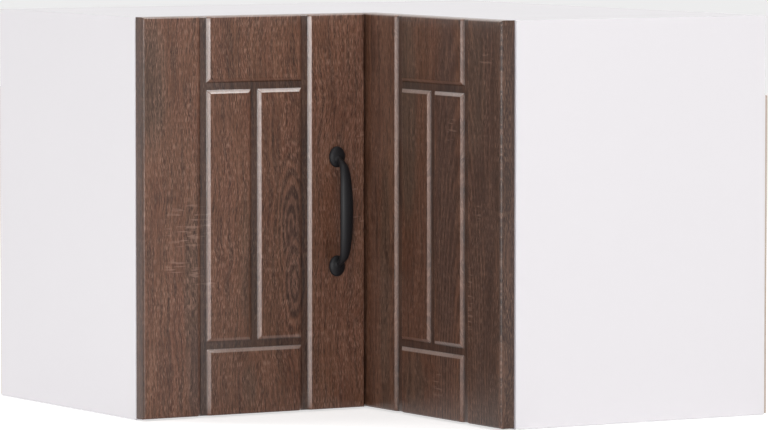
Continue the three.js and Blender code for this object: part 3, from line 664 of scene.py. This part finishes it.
leftDoor = makeDoor(
    "leftDoor", leftHigh[0] - leftLow[0], doorHeight, (leftLow[0], leftHigh[1], leftLow[2]), 0.0,
    cupPlaces, finishes["oakLeft"])
rightDoor = makeDoor(
    "rightDoor", rightHigh[1] - rightLow[1], doorHeight, (rightHigh[0], rightHigh[1], rightLow[2]),
    -math.pi / 2, [], finishes["oakRight"])
for door, body, node in ((leftDoor, "left_leaf", "left_door"), (rightDoor, "right_leaf", "right_door")):
    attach(door, body)
    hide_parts(node)
print("doors made:", len(leftDoor.data.vertices), "and", len(rightDoor.data.vertices), "points")


# handle

handleLook = {
    "feet": 110.0, "footWidth": 18.0, "footHeight": 21.5, "footThickness": 5.0,
    "reach": 21.0, "neck": (5.6, 5.0), "middle": (14.6, 8.0), "grain": 0.00045,
}


def makeHandle():
    look = handleLook
    low, high = boxOf("door_handle")
    centre = ((low[0] + high[0]) / 2, high[1], (low[2] + high[2]) / 2)
    half = look["feet"] / 2
    stations = [
        (0.4, half), (look["reach"] * 0.30, half * 0.955), (look["reach"] * 0.56, half * 0.885),
        (look["reach"] * 0.78, half * 0.79), (look["reach"] * 0.90, half * 0.60), (look["reach"] * 0.97, half * 0.32)]
    path = stations + [(look["reach"], 0.0)] + [(out, -z) for out, z in reversed(stations)]
    curve = smoothPath(path, 90)
    work = bmesh.new()
    rings = []
    for i, (out, z) in enumerate(curve):
        share = i / (len(curve) - 1)
        swell = min(1.0, max(0.0, math.sin(math.pi * share) - 0.22) / 0.78) ** 0.62
        width = look["neck"][0] + (look["middle"][0] - look["neck"][0]) * swell
        thickness = look["neck"][1] + (look["middle"][1] - look["neck"][1]) * swell
        before, after = curve[max(0, i - 1)], curve[min(len(curve) - 1, i + 1)]
        run = Vector((0.0, -(after[0] - before[0]), after[1] - before[1])).normalized()
        side = Vector((1.0, 0.0, 0.0))
        outward = run.cross(side)
        middle = Vector((0.0, -out, z))
        ring = []
        for k in range(28):
            angle = 2 * math.pi * k / 28
            point = middle + side * (math.cos(angle) * width / 2) + outward * (math.sin(angle) * thickness / 2)
            ring.append(work.verts.new(point * mm))
        rings.append(ring)
    for first, second in zip(rings, rings[1:]):
        for k in range(28):
            work.faces.new((first[k], first[(k + 1) % 28], second[(k + 1) % 28], second[k]))
    work.faces.new(list(reversed(rings[0])))
    work.faces.new(rings[-1])
    for end in (-1, 1):
        addFoot(work, end * half)
    bmesh.ops.recalc_face_normals(work, faces=work.faces)
    mesh = bpy.data.meshes.new("bowHandle")
    work.to_mesh(mesh)
    work.free()
    handle = bpy.data.objects.new("bowHandle", mesh)
    bpy.context.scene.collection.objects.link(handle)
    fuse = handle.modifiers.new("fuse", "REMESH")
    fuse.mode = "VOXEL"
    fuse.voxel_size = look["grain"]
    soften = handle.modifiers.new("soften", "SMOOTH")
    soften.factor = 0.5
    soften.iterations = 9
    shaped = bpy.data.meshes.new_from_object(handle.evaluated_get(bpy.context.evaluated_depsgraph_get()))
    handle.modifiers.clear()
    handle.data = shaped
    for vertex in shaped.vertices:
        vertex.co.y = min(vertex.co.y, 0.0)
    for polygon in shaped.polygons:
        polygon.use_smooth = True
    shaped.materials.clear()
    shaped.materials.append(finishes["blackIron"])
    handle.location = Vector(centre) * mm
    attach(handle, "left_leaf")
    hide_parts("door_handle")
    return handle


def smoothPath(points, count):
    # an even Catmull-Rom run through 2-D points
    padded = [points[0]] + list(points) + [points[-1]]
    dense = []
    for i in range(1, len(padded) - 2):
        p0, p1, p2, p3 = (np.array(p) for p in padded[i - 1:i + 3])
        for t in np.linspace(0.0, 1.0, 24, endpoint=False):
            dense.append(0.5 * (
                2 * p1 + (p2 - p0) * t + (2 * p0 - 5 * p1 + 4 * p2 - p3) * t ** 2
                + (3 * p1 - p0 - 3 * p2 + p3) * t ** 3))
    dense.append(np.array(points[-1]))
    dense = np.array(dense)
    run = np.concatenate([[0.0], np.cumsum(np.linalg.norm(np.diff(dense, axis=0), axis=1))])
    marks = np.linspace(0.0, run[-1], count)
    return list(zip(np.interp(marks, run, dense[:, 0]), np.interp(marks, run, dense[:, 1])))


def addFoot(work, height):
    # an oval pad with a rolled edge and a domed face
    look = handleLook
    profile = [
        (0.0, 0.0), (0.93, 0.0), (0.985, 0.10), (1.0, 0.28), (0.985, 0.46), (0.93, 0.64), (0.82, 0.80),
        (0.66, 0.92), (0.45, 1.02), (0.22, 1.07), (0.0, 1.08)]
    sides = 48
    rings = []
    for radius, rise in profile:
        ring = []
        for k in range(sides if radius else 1):
            angle = 2 * math.pi * k / sides
            ring.append(work.verts.new(Vector((
                radius * look["footWidth"] / 2 * math.cos(angle), -rise * look["footThickness"],
                height + radius * look["footHeight"] / 2 * math.sin(angle))) * mm))
        rings.append(ring)
    for first, second in zip(rings, rings[1:]):
        for k in range(sides):
            following = (k + 1) % sides
            if len(first) == 1:
                work.faces.new((first[0], second[k], second[following]))
            elif len(second) == 1:
                work.faces.new((first[k], second[0], first[following]))
            else:
                work.faces.new((first[k], second[k], second[following], first[following]))


handle = makeHandle()
print("handle made:", len(handle.data.vertices), "points")


# small fixings

fixingLook = {
    "wood": {"radius": 3.4, "rise": 1.3, "slot": "steel", "finish": "steelPlate"},
    "adjust": {"radius": 2.9, "rise": 0.7, "slot": "steel", "finish": "castZinc"},
    "dowel": {"radius": 4.4, "rise": 1.6, "slot": "steel", "finish": "castZinc"},
}


def lathe(name, profile, sides):
    # turned about +Z from a list of radius and height
    work = bmesh.new()
    rings = []
    for radius, height in profile:
        count = sides if radius > 0 else 1
        rings.append([
            work.verts.new(Vector((radius * math.cos(2 * math.pi * k / sides),
                                   radius * math.sin(2 * math.pi * k / sides), height)) * mm)
            for k in range(count)])
    for first, second in zip(rings, rings[1:]):
        for k in range(sides):
            following = (k + 1) % sides
            if len(first) == 1 and len(second) == 1:
                continue
            if len(first) == 1:
                work.faces.new((first[0], second[k], second[following]))
            elif len(second) == 1:
                work.faces.new((first[k], second[0], first[following]))
            else:
                work.faces.new((first[k], second[k], second[following], first[following]))
    bmesh.ops.recalc_face_normals(work, faces=work.faces)
    mesh = bpy.data.meshes.new(name)
    work.to_mesh(mesh)
    work.free()
    return mesh


def crossCutter(reach, depth, top):
    # tapered cross of a driver tip
    work = bmesh.new()
    thin = reach * 0.17
    for turn in (0, 1):
        corners = []
        for level, half in ((top - depth, reach * 0.35), (top + 0.4, reach)):
            for sx, sy in ((-1, -1), (1, -1), (1, 1), (-1, 1)):
                x, y = sx * half, sy * thin
                corners.append(work.verts.new(Vector((y, x, level) if turn else (x, y, level)) * mm))
        for quad in ((0, 1, 2, 3), (4, 5, 6, 7), (0, 1, 5, 4), (1, 2, 6, 5), (2, 3, 7, 6), (3, 0, 4, 7)):
            work.faces.new([corners[i] for i in quad])
    bmesh.ops.recalc_face_normals(work, faces=work.faces)
    mesh = bpy.data.meshes.new("driverTip")
    work.to_mesh(mesh)
    work.free()
    cutter = bpy.data.objects.new("driverTip", mesh)
    bpy.context.scene.collection.objects.link(cutter)
    return cutter


def makeScrewMesh(kind):
    look = fixingLook[kind]
    radius, rise = look["radius"], look["rise"]
    foot = -1.0    # sunk into the fitting below it
    profile = [(0.0, foot), (radius * 0.55, foot), (radius * 0.9, -0.35), (radius, -0.05), (radius, rise * 0.25)]
    profile += [(radius * math.cos(a), rise * (0.25 + 0.75 * math.sin(a))) for a in (0.35, 0.7, 1.05, 1.35)]
    profile.append((0.0, rise))
    head = bpy.data.objects.new("screwHead", lathe("screwHead", profile, 28))
    bpy.context.scene.collection.objects.link(head)
    cutter = crossCutter(radius * 0.62, min(0.9, rise + 0.8), rise)
    cut = head.modifiers.new("recess", "BOOLEAN")
    cut.operation = "DIFFERENCE"
    cut.solver = "EXACT"
    cut.use_self = True
    cut.object = cutter
    mesh = bpy.data.meshes.new_from_object(head.evaluated_get(bpy.context.evaluated_depsgraph_get()))
    mesh.name = kind + "Screw"
    mesh.materials.clear()
    mesh.materials.append(finishes[look["finish"]])
    bpy.data.objects.remove(head, do_unlink=True)
    bpy.data.objects.remove(cutter, do_unlink=True)
    for polygon in mesh.polygons:
        polygon.use_smooth = True
    mesh.set_sharp_from_angle(angle=math.radians(35))
    return mesh


screwMeshes = {kind: makeScrewMesh(kind) for kind in fixingLook}
facing = {
    "+X": Matrix.Rotation(math.pi / 2, 4, "Y"), "+Y": Matrix.Rotation(-math.pi / 2, 4, "X"),
}


def placeScrew(name, kind, body, place, way, roll):
    screw = bpy.data.objects.new(name, screwMeshes[kind])
    bpy.context.scene.collection.objects.link(screw)
    screw.matrix_world = Matrix.Translation(Vector(place) * mm) @ facing[way] @ Matrix.Rotation(roll, 4, "Z")
    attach(screw, body)


def centreOf(low, high, axis):
    return (low[axis] + high[axis]) / 2


# offsets in millimetres from the fitting's middle or edge
screwPlaces = {
    "plateOffset": 16.5, "cupOffset": 22.5, "cupFromEdge": 20.3,
    "arm": (("Fixing", 5.5), ("Reach", 15.5)),
    "fold": ((9.0, -18.0), (15.0, 0.0), (9.0, 18.0)),
    "hanger": (("Lower", 9.0), ("Upper", 47.0)), "hangerInset": 9.0,
}


def makeFixings():
    look = screwPlaces
    for level in ("lower", "upper"):
        low, high = boxOf(f"hinge_plate_{level}")
        height = centreOf(low, high, 2)
        for side, offset in (("Below", -look["plateOffset"]), ("Above", look["plateOffset"])):
            placeScrew(f"plateScrew{side}_{level}", "wood", "carcass",
                       (high[0], centreOf(low, high, 1), height + offset), "+X", 0.5 + offset)
        armLow, armHigh = boxOf(f"hinge_arm_{level}")
        for part, back in look["arm"]:
            placeScrew(f"arm{part}Screw_{level}", "adjust", "carcass",
                       (armHigh[0], armHigh[1] - back, centreOf(armLow, armHigh, 2)), "+X", 0.3 * back)
        cupLow, cupHigh = boxOf(f"hinge_cup_{level}")
        for side, offset in (("Below", -look["cupOffset"]), ("Above", look["cupOffset"])):
            place = (leftLow[0] + look["cupFromEdge"], cupHigh[1], centreOf(cupLow, cupHigh, 2) + offset)
            placeScrew(f"cupScrew{side}_{level}", "wood", "left_leaf", place, "+Y", offset)
        leafLow, leafHigh = boxOf(f"fold_leaf_left_{level}")
        rightLeafLow, rightLeafHigh = boxOf(f"fold_leaf_right_{level}")
        height = centreOf(leafLow, leafHigh, 2)
        for i, (inset, offset) in enumerate(look["fold"]):
            placeScrew(f"foldScrewLeft{i + 1}_{level}", "wood", "left_leaf",
                       (leafLow[0] + inset, leafHigh[1], height + offset), "+Y", i * 0.9)
            placeScrew(f"foldScrewRight{i + 1}_{level}", "wood", "right_leaf",
                       (rightLeafHigh[0], rightLeafLow[1] + inset, height + offset), "+X", i * 0.7 + 0.2)
    for side in ("left", "right"):
        low, high = boxOf(f"wall_hanger_{side}")
        for part, up in look["hanger"]:
            if side == "left":
                place, way = (high[0], low[1] + look["hangerInset"], low[2] + up), "+X"
            else:
                place, way = (low[0] + look["hangerInset"], high[1], low[2] + up), "+Y"
            placeScrew(f"hanger{part}Screw_{side}", "dowel", "carcass", place, way, up)


nailLook = {
    "radius": 2.3, "sunk": 0.45, "inset": 9.0, "spacing": 78.0, "pitDepth": 1.2, "pitPlay": (0.1, 0.5),
    "slot": "steel", "finish": "steelPlate",
}


def makeNails():
    # flat nail heads, sunk a little into the back boards
    look = nailLook
    headMesh = lathe("nailHead", [
        (0.0, -0.2), (look["radius"] * 0.86, -0.2), (look["radius"] * 0.96, -0.08), (look["radius"] * 0.9, 0.02),
        (0.0, 0.08)], 20)
    headMesh.materials.append(finishes[look["finish"]])
    for polygon in headMesh.polygons:
        polygon.use_smooth = True
    for side, axis in (("left", 1), ("right", 0)):
        low, high = boxOf(f"{side}_back_board")
        along = 1 - axis
        first, last = low[along] + look["inset"], high[along] - look["inset"]
        bottom, top = low[2] + look["inset"], high[2] - look["inset"]
        count = max(2, round((last - first) / look["spacing"]))
        spots = [(first + (last - first) * k / count, z) for k in range(count + 1) for z in (bottom, top)]
        rows = max(2, round((top - bottom) / look["spacing"]))
        spots += [(a, bottom + (top - bottom) * k / rows) for k in range(1, rows) for a in (first, last)]
        pits = bmesh.new()
        for k, (a, z) in enumerate(spots):
            place = [0.0, 0.0, z]
            place[along], place[axis] = a, high[axis] - look["sunk"]
            nail = bpy.data.objects.new(f"nail{k + 1}_{side}", headMesh)
            bpy.context.scene.collection.objects.link(nail)
            turn = facing["+Y" if axis == 1 else "+X"]
            nail.matrix_world = Matrix.Translation(Vector(place) * mm) @ turn
            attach(nail, "carcass")
            bmesh.ops.create_cone(
                pits, cap_ends=True, segments=20, radius1=(look["radius"] + look["pitPlay"][0]) * mm,
                radius2=(look["radius"] + look["pitPlay"][1]) * mm, depth=look["pitDepth"] * mm,
                matrix=Matrix.Translation(Vector(place) * mm) @ turn @ Matrix.Translation((0, 0, 0.35 * mm)))
        pitMesh = bpy.data.meshes.new("nailPits")
        pits.to_mesh(pitMesh)
        pits.free()
        cutter = bpy.data.objects.new(f"nailPits_{side}", pitMesh)
        bpy.context.scene.collection.objects.link(cutter)
        board = nodes[f"{side}_back_board"]
        pit = board.modifiers.new("nailPits", "BOOLEAN")
        pit.operation = "DIFFERENCE"
        pit.solver = "EXACT"
        pit.object = cutter
        cutter.hide_render = True
        cutter.hide_viewport = True


makeFixings()
makeNails()
print("fixings made")


# room, light and camera

roomLook = {"floorSize": 80.0, "floorColour": (0.93, 0.93, 0.93), "skyLight": 0.24, "floorLift": 0.62}
lamps = {
    # name: (place, width, height, watts), aimed at the cabinet's middle
    "behindCamera": ((-4.0, -5.75, 0.52), 2.2, 0.95, 206.0),
    "sideLeft": ((-4.1, -0.35, 0.5), 1.1, 0.9, 24.0),
    "backLeft": ((-2.95, 2.05, 1.7), 1.6, 1.6, 20.0),
    "fillFront": ((2.6, -5.4, 2.2), 3.6, 3.6, 26.0),
    "topBack": ((0.3, 1.6, 3.6), 2.4, 2.4, 42.0),
    "topFront": ((-0.9, -2.3, 3.5), 1.4, 1.4, 15.0),
    "topRight": ((1.45, -1.62, 2.9), 0.45, 0.45, 30.0),
}


def cameraSeen(tree):
    # camera, mirror and glass rays see the plain background
    rays = addNode(tree, "ShaderNodeLightPath")
    seen = mathNode(tree, "MAXIMUM", rays.outputs["Is Camera Ray"], rays.outputs["Is Glossy Ray"])
    return mathNode(tree, "MAXIMUM", seen, rays.outputs["Is Transmission Ray"])


def makeRoom():
    world = bpy.data.worlds.new("studio")
    bpy.context.scene.world = world
    world.use_nodes = True
    tree = world.node_tree
    background = tree.nodes["Background"]
    background.inputs["Color"].default_value = (1.0, 1.0, 1.0, 1.0)
    strength = mathNode(tree, "MULTIPLY", cameraSeen(tree), 1.0 - roomLook["skyLight"])
    strength = mathNode(tree, "ADD", strength, roomLook["skyLight"])
    tree.links.new(strength, background.inputs["Strength"])

    bpy.ops.mesh.primitive_plane_add(size=roomLook["floorSize"], location=(0, 0, -0.0005))
    floor = bpy.context.object
    floor.name = "studioFloor"
    material, tree, shader, place = newMaterial("paleFloor", roomLook["floorColour"])
    shader.inputs["Base Color"].default_value = (*roomLook["floorColour"], 1.0)
    shader.inputs["Roughness"].default_value = 1.0
    shader.inputs["Specular IOR Level"].default_value = 0.0
    shader.inputs["Emission Color"].default_value = (1.0, 1.0, 1.0, 1.0)
    lift = mathNode(tree, "MULTIPLY", cameraSeen(tree), roomLook["floorLift"])
    tree.links.new(lift, shader.inputs["Emission Strength"])
    floor.data.materials.append(material)

    for name, (spot, width, height, watts) in lamps.items():
        light = bpy.data.lights.new(name, "AREA")
        light.shape = "RECTANGLE"
        light.size = width
        light.size_y = height
        light.energy = watts
        lamp = bpy.data.objects.new(name, light)
        bpy.context.scene.collection.objects.link(lamp)
        lamp.location = spot
        aim = Vector((0.0, 0.0, 0.2)) - Vector(spot)
        lamp.rotation_euler = aim.to_track_quat("-Z", "Y").to_euler()


cameraLook = {"place": (-3.0683, -5.1889, 0.6004), "down": 3.8625, "turn": -30.664, "lens": 278.62}


def makeCamera():
    camera = bpy.data.objects.new("photoCamera", bpy.data.cameras.new("photoCamera"))
    bpy.context.scene.collection.objects.link(camera)
    camera.data.sensor_width = 36.0
    camera.data.lens = cameraLook["lens"]
    camera.data.clip_start = 0.5
    camera.data.clip_end = 200.0
    camera.location = cameraLook["place"]
    camera.rotation_euler = (math.radians(90 - cameraLook["down"]), 0.0, math.radians(cameraLook["turn"]))
    bpy.context.scene.camera = camera


makeRoom()
makeCamera()
bpy.context.scene.view_settings.view_transform = "Standard"
print("room, lamps and camera made")

bpy.context.view_layer.update()
